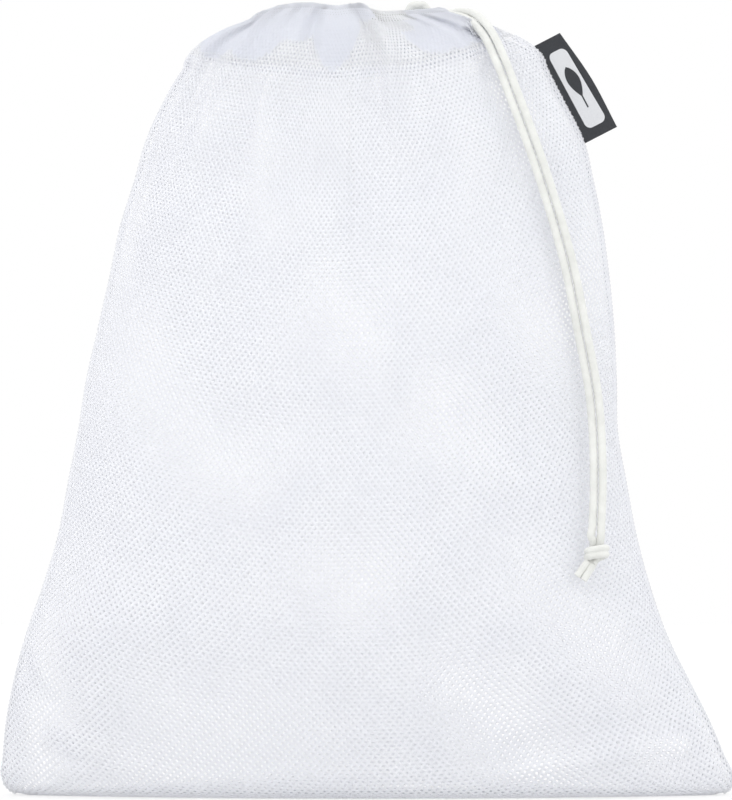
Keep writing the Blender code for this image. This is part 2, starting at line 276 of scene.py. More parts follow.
def base_sheet(side):
    """The panel without its folds: the floor from the bottom seam out, then the wall up to the rim."""
    turn = np.linspace(0, 1, GRID_COLUMNS)
    angle = np.pi * (1 - turn) if side < 0 else np.pi * turn
    cosine = np.cos(angle)
    z = np.linspace(0, RIM_Z, 330)
    left, right, depth = outline(z)
    pinch = 1 + (PINCH_POWER - 1) * np.clip(1 - z / PINCH_HEIGHT, 0, 1)
    blunt = (1 - RIM_POWER) * rise(z, SHOULDER_FOOT, RIM_Z)
    bulge = np.clip(np.sin(angle), 0, 1)[None, :]**(pinch - blunt)[:, None]
    edge = SEAM_HALF + TUNNEL_MOUTH * rise(z, RIM_Z - MOUTH_REACH, RIM_Z)[:, None] * rise(cosine, 0.2, 1)
    x = ((right - left) / 2)[:, None] + ((right + left) / 2)[:, None] * cosine
    y = edge + (depth[:, None] - edge) * bulge
    wall = np.stack([x, side * y, np.repeat(z[:, None], GRID_COLUMNS, axis=1)], axis=-1)
    share = np.linspace(0, 1, 40, endpoint=False)[:, None]
    floor = np.repeat(wall[:1], len(share), axis=0)
    floor[..., 1] = side * (SEAM_HALF + share * (np.abs(wall[0, :, 1]) - SEAM_HALF))
    grid = np.concatenate([floor, wall])
    lift = rise(grid[..., 2], PROFILE_FOOT, RIM_Z)
    knots, heights = np.array(RIM_PROFILE).T
    if side > 0:        # the back rim is lower, and dips where its cord leaves the tunnel
        heights = np.where(knots > NUB_LEFT, -2.2, np.minimum(heights, 1.0))
    grid[..., 2] += FLOOR_LIFT * (1 - grid[..., 2] / RIM_Z) + lift * smooth(knots, heights, grid[..., 0])
    along = distances(grid)
    even = np.linspace(0, 1, GRID_ROWS)
    rows = np.arange(len(grid))
    out = np.zeros((GRID_ROWS, GRID_COLUMNS, 3))
    for c in range(GRID_COLUMNS):
        at = np.interp(even * along[-1, c], along[:, c] + rows * 1e-7, rows)
        out[:, c] = between(at, rows, grid[:, c])
    return out


def back_folds():
    """Folds behind the mouth, at random places and of random reach."""
    places = np.cumsum(random.uniform(2.6, 4.6, 22))
    places = -RIM_LEFT + places * (RIM_LEFT + RIM_RIGHT) / places[-1]
    folds = [(-RIM_LEFT, 0, 40)]
    for i, x in enumerate(places[:-1]):
        height = random.uniform(0.6, 1.2) * (1 if i % 2 else -1)
        folds.append((x, height, random.uniform(35, 90)))
    return folds + [(RIM_RIGHT, 0, 40)]


def crease(grid, start, end, width, height):
    """How far each point rises on a soft crease between two (x, z) places."""
    run = np.subtract(end, start)
    place = grid[..., [0, 2]] - start
    t = (place @ run) / (run @ run)
    miss = np.linalg.norm(place - np.clip(t, 0, 1)[..., None] * run, axis=-1)
    return height * np.exp(-(miss / width)**2)


FRONT_CREASES = [((58, 10), (128, 21), 4.5, 1.3), ((64, 22), (124, 34), 6, -0.9),
                 ((-128, 24), (-92, 13), 5, 0.9), ((-140, 52), (-118, 30), 6, -0.8),
                 ((-60, 215), (-38, 268), 7, 0.9), ((-82, 236), (-62, 282), 6, 0.8),
                 ((44, 212), (60, 262), 8, -0.8), ((8, 208), (2, 262), 9, 0.7)]


def random_creases():
    """Soft creases and swells for the back, which differ from the front's."""
    made = []
    for _ in range(8):
        start = np.array([random.uniform(-85, 85), random.uniform(25, 240)])
        run = random.uniform(-1, 1, 2) * np.array([35, 45])
        made.append((start, start + run + 1, random.uniform(12, 22), random.uniform(-0.7, 0.8)))
    return made


def fold_sheet(base, side):
    """Raises the folds, creases and swells on a base sheet."""
    folds = FRONT_FOLDS if side < 0 else back_folds()
    creases = FRONT_CREASES if side < 0 else random_creases()
    places, heights, reaches = np.array(folds, float).T
    rim_x = base[-1, :, 0]
    down = distances(base[::-1])[::-1]
    height = waves(places, heights, rim_x)
    reach = np.interp(rim_x, places, reaches)
    fade = 1 - rise(down / reach, 0.2, 1)
    lift = FOLD_HEIGHT * (height + 1) * fade
    turn = np.linspace(0, 1, base.shape[1])
    for count, size, phase in ((5, 1.1, 0.6), (9, 0.8, 2.1), (14, 0.5, 4.0)):
        soft = np.sin(2 * np.pi * count * turn + phase + side)
        lift += size * soft * (1 - smooth_step(down / 150)) * smooth_step(down / 12)
    for line in creases:
        lift += crease(base, *line)
    ends = smooth_step(turn / 0.05) * smooth_step((1 - turn) / 0.05)
    standing = smooth_step(base[..., 2] / 14)
    return base + level(normals_of(base)) * (lift * ends * standing)[..., None]


def press_under(grid, paths, clearance):
    """Pushes the cloth in where a cord lies on it."""
    normal = normals_of(grid)
    moved = grid.copy()
    for path in paths:
        near = (grid[..., 0] > path[:, 0].min() - 12) & (grid[..., 2] > path[:, 2].min() - 12)
        near &= grid[..., 0] < path[:, 0].max() + 12
        points = moved[near]
        gap = np.linalg.norm(points[:, None] - path[None], axis=-1)
        nearest = path[gap.argmin(axis=1)]
        outward = normal[near]
        above = ((points - nearest) * outward).sum(axis=1)
        aside = np.sqrt(np.maximum(gap.min(axis=1)**2 - above**2, 0))
        share = np.clip(1 - (aside / (2.2 * clearance))**2, 0, 1)
        allowed = -clearance * np.sqrt(share)
        push = np.where((share > 0) & (above > allowed), allowed - above, 0) * smooth_step(share * 2)
        push *= rise(above, PRESS_REACH, PRESS_REACH - 4) * rise(points[:, 2], PRESS_TOP, PRESS_TOP - 6)
        moved[near] = points + outward * push[:, None]
    return moved


def even_columns(grid, lining):
    """Spreads the columns evenly along each row, with the border column where the mouth's middle is.
    The lining's columns move in the same way."""
    along = distances(grid, 1)
    columns = np.arange(grid.shape[1])
    border = BORDER_COLUMN / COLUMNS
    turn = np.linspace(0, 1, grid.shape[1])
    outs = np.zeros_like(grid), np.zeros_like(grid)
    for r in range(len(grid)):
        x = grid[r, :, 0]
        height = grid[r, :, 2].mean()
        share = rise(height, 150, BLEND_FOOT - 5)
        middle = (x[0] + x[-1]) / 2 * (1 - share) + MOUTH_MIDDLE * share
        order = columns if x[0] < x[-1] else columns[::-1]
        at_middle = np.interp(middle, x[order], along[r][order])
        wanted = np.interp(turn, [0, border, 1], [0, at_middle, along[r, -1]])
        at = np.interp(wanted, along[r] + columns * 1e-7, columns)
        for source, out in zip((grid, lining), outs):
            out[r] = between(at, columns, source[r])
    return outs


class Sheet:
    """One panel's cloth, from the bottom seam up to the rim, over the cord and down to the hem's edge."""

    def __init__(self, side, cords):
        self.side = side
        base = base_sheet(side)
        folded = fold_sheet(base, side)
        loose, lining = even_columns(folded, base)
        self.grid = press_under(loose, cords, CORD_RADIUS + STRAND_THICKNESS)
        self.normals = normals_of(self.grid)
        inward = level(normals_of(lining))
        down = distances(lining[::-1])[::-1]
        gap = TUNNEL_EDGE + (TUNNEL_GAP - TUNNEL_EDGE) * (1 - rise(down, 6, 22))
        hidden = self.grid - inward * gap[..., None]
        straight = lining - inward * gap[..., None] + self.grid - loose
        near_rim = (1 - rise(down, 8, 18))[..., None]
        self.lining = hidden + (straight - hidden) * near_rim
        self.lining[..., 1] = side * np.maximum(side * self.lining[..., 1], 0.5)
        self.lining_normals = normals_of(self.lining)
        self.rim_x = self.grid[-1, :, 0]
        self.base_rim = base[-1]

    def density(self, column, down):
        """Where the tunnel's two layers hide each other's holes: 1 closes them and 0 lines them up."""
        if self.side > 0:
            return np.full_like(column, BACK_DENSITY)
        x = np.interp(column, np.linspace(0, 1, len(self.rim_x)), self.rim_x)
        closed = np.zeros_like(x)
        for low, high, top, foot in DENSE_CLOTH:
            across = np.clip(1 - ((x - (low + high) / 2) / ((high - low) / 2 + 0.8))**2, 0, 1)
            reach = top + (foot - top) * np.sqrt(across)
            inside = smooth_step(across * 6) * smooth_step((reach - down) / 1.2 + 0.5)
            inside *= smooth_step((down - top) / 1.2 + 0.5)
            closed = np.maximum(closed, inside)
        return closed

    def share_and_density(self, column, row):
        """The width of each hole as a share of its cell, and how dense the cloth is there. Where the hem's
        cloth is dense, the holes are pulled nearly shut."""
        down = np.where(row > ROWS, row - ROWS - FOLD_ROWS, ROWS - row) * ROW_PITCH
        in_hem = smooth_step((HEM_ROWS * ROW_PITCH + 2 - down) / 2)
        density = self.density(column, np.maximum(down, 0)) * in_hem
        return HOLE_SHARE + (HEM_SHUT_SHARE - HOLE_SHARE) * density, density

    def at(self, column, row):
        """Middle surface and normal, for a column from 0 to 1 and a row from 0 to past ROWS."""
        point = sample(self.grid, column, row / ROWS)
        normal = unit(sample(self.normals, column, row / ROWS))
        over = row > ROWS
        if over.any():
            c = column[over]
            past = row[over] - ROWS
            rim = np.ones_like(c)
            outer, inner = sample(self.grid, c, rim), sample(self.lining, c, rim)
            up = unit(unit(outer - sample(self.grid, c, rim - 2 / ROWS)) + [0, 0, 1.4])
            angle = np.pi * np.minimum(past / FOLD_ROWS, 1)[:, None]
            middle, arm = (outer + inner) / 2, (outer - inner) / 2
            round_top = middle + arm * np.cos(angle) + up * (TUNNEL_GAP / 2) * np.sin(angle)
            round_normal = unit(arm) * np.cos(angle) + up * np.sin(angle)
            down = np.maximum(past - FOLD_ROWS, 0)
            depth = down + self.density(c, down * ROW_PITCH) * smooth_step(down / 3)
            height = (ROWS - depth) / ROWS
            lined = sample(self.lining, c, height)
            lined_normal = unit(sample(self.lining_normals, c, height))
            turned = (down > 0)[:, None]
            point[over] = np.where(turned, lined, round_top)
            normal[over] = np.where(turned, -lined_normal, round_normal)
        return point, normal


# ------------ mesh making

def quad_mesh(name, points_mm, quads, normals, dense):
    mesh = bpy.data.meshes.new(name)
    mesh.vertices.add(len(points_mm))
    mesh.vertices.foreach_set("co", (np.asarray(points_mm) * MM).astype(np.float32).ravel())
    mesh.loops.add(quads.size)
    mesh.loops.foreach_set("vertex_index", quads.astype(np.int32).ravel())
    mesh.polygons.add(len(quads))
    mesh.polygons.foreach_set("loop_start", np.arange(0, quads.size, 4, dtype=np.int32))
    mesh.polygons.foreach_set("use_smooth", np.ones(len(quads), bool))
    mesh.update(calc_edges=True)
    mesh.validate()
    mesh.normals_split_custom_set(normals)
    attribute = mesh.attributes.new("cloth_density", "FLOAT", "FACE")
    attribute.data.foreach_set("value", dense.astype(np.float32))
    return mesh


def grid_quads(index, after):
    """The faces between each row of index and the next. after holds each index's neighbour in its row."""
    return np.stack([after[:-1], after[1:], index[1:], index[:-1]], axis=-1).reshape(-1, 4)


def add_object(name, data):
    made = bpy.data.objects.new(name, data)
    bpy.context.scene.collection.objects.link(made)
    return made


def add_piece(name, mesh, slot, *nodes, look=None):
    """A visible piece that stands for the CAD nodes. Its look is its slot's own unless another is given."""
    piece = add_object(name, mesh)
    mesh.materials.append(look or looks[slot])
    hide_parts(*nodes)
    return piece


def cells(first_row, last_row, half):
    """Centres of the holes in part of a panel, as (twice the column, row). half is 'left' or 'right'."""
    row, twice = np.mgrid[first_row:last_row, 1:2 * COLUMNS]
    keep = ((row + twice) % 2 == 0) & ((twice < 2 * BORDER_COLUMN) == (half == "left"))
    return np.stack([twice[keep], row[keep]], axis=1)


def knit(sheet, centres, snap):
    """The open lattice over the cells: ridges between the holes, in front and behind, and closed borders.
    Returns its points, its quads, their corners' normals and how dense the cloth is at each quad."""
    corner_steps = np.array([(0, CELL_TOP), (-1, CELL_SIDE), (-1, -CELL_SIDE), (0, -CELL_TOP),
                             (1, -CELL_SIDE), (1, CELL_SIDE)])
    keys = ((centres * (1, 100))[:, None] + corner_steps).reshape(-1, 2)
    code = keys[:, 0].astype(np.int64) * 1_000_000 + keys[:, 1] + 1000
    _, first, inverse = np.unique(code, return_index=True, return_inverse=True)
    twice_column, hundred_rows = keys[first].T
    middle, normal = sheet.at(twice_column / (2 * COLUMNS), hundred_rows / 100)
    if snap:
        on_border = (np.abs(twice_column - 2 * BORDER_COLUMN) < 0.9) & (middle[:, 2] > BLEND_FOOT - 1)
        middle[on_border, 0] = MOUTH_MIDDLE
    lift = normal * (STRAND_THICKNESS / 2)
    corners = inverse.reshape(-1, 6)
    centre = middle[corners].mean(axis=1)[:, None]
    share, density = sheet.share_and_density(centres[:, 0] / (2 * COLUMNS), centres[:, 1])
    holes = centre + (middle[corners] - centre) * share[:, None, None]
    points = np.concatenate([middle + lift, middle - lift, holes.reshape(-1, 3)])
    count = len(middle)
    hole = 2 * count + np.arange(corners.size).reshape(-1, 6)
    after = np.roll(np.arange(6), -1)
    next_corners, next_hole = corners[:, after], hole[:, after]
    front_quads = np.stack([corners, next_corners, next_hole, hole], axis=-1)
    back_quads = np.stack([next_corners + count, corners + count, hole, next_hole], axis=-1)
    low, high = np.minimum(corners, next_corners).ravel(), np.maximum(corners, next_corners).ravel()
    edge_code = low.astype(np.int64) * (count + 1) + high
    _, back_index, uses = np.unique(edge_code, return_inverse=True, return_counts=True)
    at_edge = (twice_column <= 2) | (twice_column >= 2 * COLUMNS - 2) | (hundred_rows < 100)
    at_edge |= hundred_rows > 100 * (ROWS + FOLD_ROWS + HEM_ROWS - 1.6)
    a, b = corners.ravel(), next_corners.ravel()
    open_edge = (uses[back_index] == 1) & at_edge[a] & at_edge[b]
    a, b = a[open_edge], b[open_edge]
    border_quads = np.stack([b, a, a + count, b + count], axis=-1)
    quads = np.concatenate([front_quads.reshape(-1, 4), back_quads.reshape(-1, 4), border_quads])
    inwards = unit(centre - holes) * (STRAND_ROUNDNESS * share / HOLE_SHARE)[:, None, None]
    cloth_normal = normal[corners]
    next_normal = cloth_normal[:, after]
    hole_front, hole_back = unit(inwards + cloth_normal), unit(inwards - cloth_normal)
    front_normals = np.stack([cloth_normal, next_normal, hole_front[:, after], hole_front], axis=2)
    back_normals = np.stack([-next_normal, -cloth_normal, hole_back, hole_back[:, after]], axis=2)
    border_normals = np.stack([normal[b], normal[a], -normal[a], -normal[b]], axis=1)
    normals = np.concatenate([front_normals.reshape(-1, 3), back_normals.reshape(-1, 3),
                              border_normals.reshape(-1, 3)])
    dense = np.concatenate([np.repeat(density, 6), np.repeat(density, 6), np.zeros(len(border_quads))])
    return points, quads, normals, dense


def mouth_blend(piece):
    """Bakes the piece's placement into its mesh."""
    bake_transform(piece)


def sides_of(side, half):
    """Which half of the mouth a panel's piece is on: the back panel's left is the bag's right."""
    return half if side < 0 else {"left": "right", "right": "left"}[half]


def slump(piece):
    """Rides on the lower bag, with a mesh of its own."""
    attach(piece, "lower_bag")
    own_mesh(piece)


DOME = 0.12                 # height of a tube's domed end, as a share of its radius


def round_tube(path, radius, around, relief=None, flat=1):
    """Points, quads and rings of an open tube. relief(turn, distance) scales its radius, and flat scales
    its thickness in one direction."""
    run = unit(np.gradient(path, axis=0))
    side = np.cross(run[0], (0, 0, 1))
    if np.linalg.norm(side) < 0.2:
        side = np.cross(run[0], (0, 1, 0))
    sides = []
    for direction in run:
        side = unit(side - direction * (side @ direction))
        sides.append(side)
    sides = np.array(sides)
    ups = np.cross(run, sides)
    turn = np.arange(around) * 2 * np.pi / around
    size = radius * np.ones((len(path), around))
    if relief:
        size = size * relief(turn[None, :], distances(path)[:, None])
    rings = (path[:, None] + sides[:, None] * (np.cos(turn) * size)[..., None]
             + ups[:, None] * (np.sin(turn) * flat * size)[..., None])
    points = rings.reshape(-1, 3)
    index = np.arange(len(points)).reshape(len(path), around)
    after = np.roll(index, -1, axis=1)
    return points, grid_quads(index, after), index


def closed_mesh(name, points_mm, faces, sharp_angle):
    """A smooth mesh with its faces turned outwards. Edges that bend by more than sharp_angle stay crisp."""
    mesh = bpy.data.meshes.new(name)
    mesh.from_pydata([tuple(p) for p in np.array(points_mm) * MM], [], faces)
    work = bmesh.new()
    work.from_mesh(mesh)
    bmesh.ops.recalc_face_normals(work, faces=work.faces)
    work.to_mesh(mesh)
    work.free()
    mesh.shade_smooth()
    mesh.set_sharp_from_angle(angle=math.radians(sharp_angle))
    return mesh


def tubes_mesh(name, tubes):
    """One mesh of several closed tubes. The ends are domed a little and closed with a fan."""
    points, faces = [], []
    for tube_points, quads, index in tubes:
        shift = len(points)
        points += list(tube_points)
        faces += (quads + shift).tolist()
        for ring, inside in ((index[0], index[1]), (index[-1], index[-2])):
            centre = tube_points[ring].mean(axis=0)
            out = unit(centre - tube_points[inside].mean(axis=0))
            radius = np.linalg.norm(tube_points[ring[0]] - centre)
            around = (ring + shift).tolist()
            faces += [(len(points), a, b) for a, b in zip(around, around[1:] + around[:1])]
            points.append(centre + out * radius * DOME)
    return closed_mesh(name, points, faces, 60)


def even_path(points, step):
    """Points at an even spacing along the smooth curve through the given points."""
    points = np.asarray(points, float)
    along = distances(points)
    fine = smooth(along, points, np.linspace(0, along[-1], 40 * len(points)))
    travelled = distances(fine)
    count = max(3, round(travelled[-1] / step) + 1)
    wanted = np.linspace(0, travelled[-1], count)
    return between(wanted, travelled, fine)


BRAID_STRANDS = 6
BRAID_LAY = 1.25            # length of one pick of the braid
BRAID_RELIEF = 0.045
BRAID_STEP = 0.3            # length of one segment of a cord's tube
TAPER = 3.0                 # a cord's end changes its size over this length


def braid_relief(turn, distance):
    """The staggered picks of a braided cord."""
    return 1 + BRAID_RELIEF * np.cos(BRAID_STRANDS * turn) * np.cos(np.pi * distance / BRAID_LAY)


def braided(path, radius=CORD_RADIUS, start_size=1.0, end_size=1.0):
    """A braided cord. start_size and end_size scale its radius at its two ends."""
    path = even_path(path, BRAID_STEP)
    length = BRAID_STEP * (len(path) - 1)

    def relief(turn, distance):
        size = 1 + (start_size - 1) * (1 - smooth_step(distance / TAPER))
        size = size + (end_size - 1) * (1 - smooth_step((length - distance) / TAPER))
        return size * braid_relief(turn, distance)

    return round_tube(path, radius, 30, relief)


def wrapped_relief(turn, distance):
    """The thread of an overlocked seam, wound round its edge."""
    return 1 + 0.16 * np.cos(2 * turn - 2 * np.pi * distance / 1.7)


# ------------ materials

def new_material(name):
    """A material and its shader node."""
    made = bpy.data.materials.new(name)
    made.use_nodes = True
    return made, made.node_tree.nodes["Principled BSDF"]


def set_inputs(node, settings):
    """Gives each named input a value, or joins it to another node's output."""
    for name, setting in settings.items():
        if isinstance(setting, bpy.types.NodeSocket):
            node.id_data.links.new(setting, node.inputs[name])
        else:
            node.inputs[name].default_value = setting


def add_node(made, kind, settings):
    node = made.node_tree.nodes.new("ShaderNode" + kind)
    set_inputs(node, settings)
    return node


def coordinates(made, size):
    """Object coordinates, counted in steps of that size in mm."""
    place = add_node(made, "TexCoord", {}).outputs["Object"]
    scale = 1000 / size
    return add_node(made, "Mapping", {"Vector": place, "Scale": (scale, scale, scale)}).outputs["Vector"]


def noise(made, size, detail):
    place = coordinates(made, size)
    return add_node(made, "TexNoise", {"Vector": place, "Scale": 1, "Detail": detail}).outputs["Fac"]


def colour_ramp(made, source, low, high, end=0.7):
    """Turns a value into a colour: low up to 0.3, and high from end on."""
    ramp = add_node(made, "ValToRGB", {"Fac": source})
    first, last = ramp.color_ramp.elements
    first.position = 0.3
    first.color = (*low, 1)
    last.position = end
    last.color = (*high, 1)
    return ramp.outputs["Color"]


def bump(made, source, strength, distance):
    settings = {"Height": source, "Strength": strength, "Distance": distance}
    return add_node(made, "Bump", settings).outputs["Normal"]


def fibre_material(name, low, high, patch, fibre, roughness, depth=0.00012, sheen=0.3):
    """Yarn: slow patches of tone, and fine fibres that roughen it. patch and fibre are sizes in mm."""
    made, shader = new_material(name)
    fine = noise(made, fibre, 4)
    spread = add_node(made, "MapRange", {"Value": fine, "To Min": roughness - 0.08,
                                         "To Max": roughness + 0.08})
    set_inputs(shader, {"Base Color": colour_ramp(made, noise(made, patch, 3), low, high),
                        "Normal": bump(made, fine, 0.5, depth), "Roughness": spread.outputs["Result"],
                        "Sheen Weight": sheen, "Sheen Roughness": 0.5})
    return made


def woven_material(name, low, high):
    """A flat woven tape, with its ribs along and across."""
    made, shader = new_material(name)
    weave = add_node(made, "TexChecker", {"Vector": coordinates(made, WEAVE_PITCH), "Scale": 1})
    mix = add_node(made, "Math", {})
    mix.operation = "MULTIPLY_ADD"
    set_inputs(mix, {0: weave.outputs["Fac"], 1: 0.25, 2: noise(made, 0.5, 3)})
    tone = mix.outputs["Value"]
    set_inputs(shader, {"Base Color": colour_ramp(made, tone, low, high, 0.95),
                        "Normal": bump(made, tone, 0.6, 0.0001), "Roughness": 0.7})
    return made


def let_light_through(made, share, colour):
    """Mixes in light that passes from one side of the cloth to the other."""
    nodes = made.node_tree.nodes
    glow = add_node(made, "BsdfTranslucent", {"Color": (*colour, 1)})
    surface = nodes["Principled BSDF"].outputs["BSDF"]
    mix = add_node(made, "MixShader", {"Fac": share, 1: surface, 2: glow.outputs["BSDF"]})
    set_inputs(nodes["Material Output"], {"Surface": mix.outputs["Shader"]})
    return glow


def paint_shade_on_dense_cloth(made, shade_tint, glow):
    """Paints shade into the colour of the surface and of its glow where the mesh is dense: the tint darkens
    the hem's stacked layers, standing in for the shade between them.
    """
    shader = made.node_tree.nodes["Principled BSDF"]
    plain = shader.inputs["Base Color"].links[0].from_socket
    dense = add_node(made, "Attribute", {})
    dense.attribute_name = "cloth_density"
    mix = add_node(made, "MixRGB", {"Fac": dense.outputs["Fac"], "Color1": plain, "Color2": (*shade_tint, 1)})
    mix.blend_type = "MULTIPLY"
    set_inputs(shader, {"Base Color": mix.outputs["Color"]})
    set_inputs(glow, {"Color": mix.outputs["Color"]})


WEAVE_PITCH = 0.35
looks = {slot: fibre_material(*settings) for slot, *settings in (
    ("knitted_mesh", "knitted_mesh_look", (0.89, 0.896, 0.922), (0.93, 0.934, 0.95), 18, 0.22, 0.62),
    ("hem_cloth", "hem_look", (0.945, 0.949, 0.963), (0.965, 0.968, 0.978), 14, 0.22, 0.62),
    ("seam_overlock", "seam_look", (0.68, 0.69, 0.72), (0.74, 0.75, 0.775), 6, 0.18, 0.7),
    ("sewing_thread", "thread_look", (0.76, 0.765, 0.79), (0.82, 0.825, 0.84), 3, 0.12, 0.5),
    ("cord_braid", "cord_look", (0.66, 0.667, 0.64), (0.74, 0.747, 0.72), 5, 0.16, 0.8, 0.0002, 0.4))}
looks["label_tape"] = woven_material("label_look", (0.014, 0.0155, 0.019), (0.036, 0.039, 0.046))
field_look = woven_material("label_field_look", (0.56, 0.57, 0.59), (0.68, 0.69, 0.71))
let_light_through(looks["knitted_mesh"], 0.5, (0.93, 0.935, 0.957))
hem_glow = let_light_through(looks["hem_cloth"], 0.58, (1, 1, 1))
# painted shade: where the hem's cloth is dense, a pale bluish tint darkens its colour in place of the shade
# between the stacked layers
paint_shade_on_dense_cloth(looks["hem_cloth"], (0.955, 0.962, 0.985), hem_glow)


# ------------ the cords

shoulder_paths = {end: centreline("cord_shoulder_strand_" + end) for end in ("front", "back")}
tail_paths = {end: centreline("cord_tail_strand_" + end) for end in ("front", "back")}
cords_on_cloth = [even_path(path, 1.0) for path in (*shoulder_paths.values(), *tail_paths.values())]
sheets = {"front": Sheet(-1, cords_on_cloth), "back": Sheet(1, [])}


def cloth(end):
    sheet = sheets[end]
    hem_foot = ROWS - HEM_ROWS
    hem_top = ROWS + FOLD_ROWS + HEM_ROWS
    for band, low, high, slot, node in (("lower", 0, hem_foot, "knitted_mesh", "_panel_lower"),
                                        ("upper", 0, hem_foot, "knitted_mesh", "_panel_upper"),
                                        ("hem", hem_foot, hem_top, "hem_cloth", "_hem_channel")):
        for half in ("left", "right"):
            centres = cells(low, high, half)
            if band != "hem":
                height = sheet.at(centres[:, 0] / (2 * COLUMNS), centres[:, 1].astype(float))[0][:, 2]
                centres = centres[height < SPLIT_Z] if band == "lower" else centres[height >= SPLIT_Z]
            which = sides_of(sheet.side, half)
            name = f"{end}_mesh_{band}_{which}"
            mesh = quad_mesh(name, *knit(sheet, centres, snap=band != "lower"))
            piece = add_piece(name, mesh, slot, end + node)
            if band == "lower":
                slump(piece)
            else:
                mouth_blend(piece)


for end in sheets:
    cloth(end)


# ------------ seams and threads

def tube_piece(name, tubes, slot, node, body=None):
    """A visible piece of closed tubes. It rides on the body, if one is given."""
    piece = add_piece(name, tubes_mesh(name, tubes), slot, node)
    if body:
        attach(piece, body)
    return piece


SEAM_INSET = 0.5
SEAM_RADIUS = 1.05
SEAM_STEP = 0.42            # length of one segment of a seam's tube
SEAM_TOPS = {"left": 314, "right": 311}


def edge_path(side_name, low, high):
    """The line of a side seam, just inside the cloth's edge, between two heights."""
    sign = -1 if side_name == "left" else 1
    edge = sheets["front"].grid[:, 0 if sign < 0 else -1]
    keep = (edge[:, 2] >= low) & (edge[:, 2] <= high)
    path = edge[keep] * np.array([1, 0, 1])
    path[:, 0] -= sign * SEAM_INSET
    return even_path(path[::4], SEAM_STEP)


def side_seams():
    for name, top in SEAM_TOPS.items():
        for part, low, high in (("lower", 1.2, SPLIT_Z), ("upper", SPLIT_Z - 0.3, top)):
            seam = round_tube(edge_path(name, low, high), SEAM_RADIUS, 16, wrapped_relief)
            node = f"{name}_side_seam_{part}"
            piece = tube_piece(f"{name}_overlock_{part}", [seam], "seam_overlock", node, part + "_bag")
            if part == "lower":
                slump(piece)


def helix(path, radius, pitch):
    """A thread wound round a path that lies in the plane y = 0."""
    step = 0.4
    path = even_path(path, step)
    run = unit(np.gradient(path, axis=0))
    turn = 2 * np.pi * np.arange(len(path)) * step / pitch
    across = radius * np.sin(turn)
    return path + np.stack([run[:, 2] * across, radius * np.cos(turn), -run[:, 0] * across], axis=1)


FLOOR_SEAM_RADIUS = 0.75
FLOOR_SEAM_Z = 1.3
THREAD_RADIUS = 0.19
THREAD_LIFT = 0.2           # a wound thread's middle lies this far outside the seam


def bottom_seam():
    low, high = box_mm("bottom_seam")
    line = np.array([(x, 0, FLOOR_SEAM_Z) for x in np.linspace(low[0] + 1, high[0] - 1, 12)])
    binding = round_tube(even_path(line, SEAM_STEP), FLOOR_SEAM_RADIUS, 14, wrapped_relief)
    tube_piece("floor_overlock", [binding], "seam_overlock", "bottom_seam", "lower_bag")
    wound = round_tube(helix(line, FLOOR_SEAM_RADIUS + THREAD_LIFT, 3.1), THREAD_RADIUS, 8)
    tube_piece("floor_overlock_thread", [wound], "sewing_thread", "bottom_seam_thread", "lower_bag")


TACK_PASSES = 15
TACK_WIDTH = 1.5            # how far each pass of the zigzag reaches from the seam's plane


def bar_tacks():
    """Close zigzag stitches across the ends of the tunnel."""
    for name in ("left", "right"):
        low, high = box_mm(name + "_bar_tack")
        x, _, z = (low + high) / 2
        places = np.linspace(low[0], high[0], TACK_PASSES)
        zigzag = [(place, TACK_WIDTH if i % 2 else -TACK_WIDTH, z) for i, place in enumerate(places)]
        thread = round_tube(even_path(zigzag, 0.25), 0.26, 8)
        line = even_path([(low[0] - 0.2, 0, z), (x, 0, z), (high[0] + 0.2, 0, z)], 0.3)
        pad = round_tube(line, 1.3, 20, flat=0.7)
        tube_piece(name + "_tack_stitches", [thread, pad], "sewing_thread", name + "_bar_tack", "upper_bag")


STITCH_LENGTH = 3.0
HEM_THREAD_RADIUS = 0.14


def hem_stitches():
    """A lockstitch line along the hem's lower edge. The thread dips into the cloth between stitches."""
    row = ROWS - HEM_ROWS + 0.6
    column = np.linspace(0.012, 0.988, 900)
    border = BORDER_COLUMN / COLUMNS
    for end, sheet in sheets.items():
        surface, normal = sheet.at(column, np.full_like(column, row))
        lift = 0.12 + 0.3 * np.cos(2 * np.pi * distances(surface) / STITCH_LENGTH)
        path = surface + normal * lift[:, None]
        for half, keep in (("left", column <= border), ("right", column >= border)):
            thread = round_tube(even_path(path[keep], 0.5), HEM_THREAD_RADIUS, 8)
            which = sides_of(sheet.side, half)
            name = f"{end}_hem_thread_{which}"
            piece = tube_piece(name, [thread], "sewing_thread", end + "_hem_stitching")
            mouth_blend(piece)


def label_stitches():
    low, high = box_mm("label_stitching")
    path = edge_path("right", low[2], high[2])
    wound = round_tube(helix(path, SEAM_RADIUS + THREAD_LIFT, 2.4), THREAD_RADIUS, 8)
    tube_piece("label_catch_thread", [wound], "sewing_thread", "label_stitching", "upper_bag")


# ------------ the drawcord

NUB_Z = 324.1
RUN_LEFT, RUN_RIGHT = -40, 30.8
CORD_DROP = 0.8             # the cord's middle lies this far below the rim line, inside the fold


def tunnel_path(end):
    """The middle of the cord in its tunnel, from the left to the right."""
    sheet = sheets[end]
    line = sheet.base_rim
    line = line[np.argsort(line[:, 0])]
    x, y, z = between(np.linspace(RUN_LEFT, RUN_RIGHT, 60), line[:, 0], line).T
    z -= CORD_DROP
    if end == "back":
        share = (x - NUB_LEFT) / (NUB_RIGHT - NUB_LEFT)
        z += (NUB_Z - z) * smooth_step(share * 3) * smooth_step((1 - share) * 3)
        z += (RIM_Z + 1.2 - z) * rise(x, NUB_RIGHT - 3, NUB_RIGHT + 1)
    return np.stack([x, y - sheet.side * TUNNEL_GAP / 2, z], axis=1)


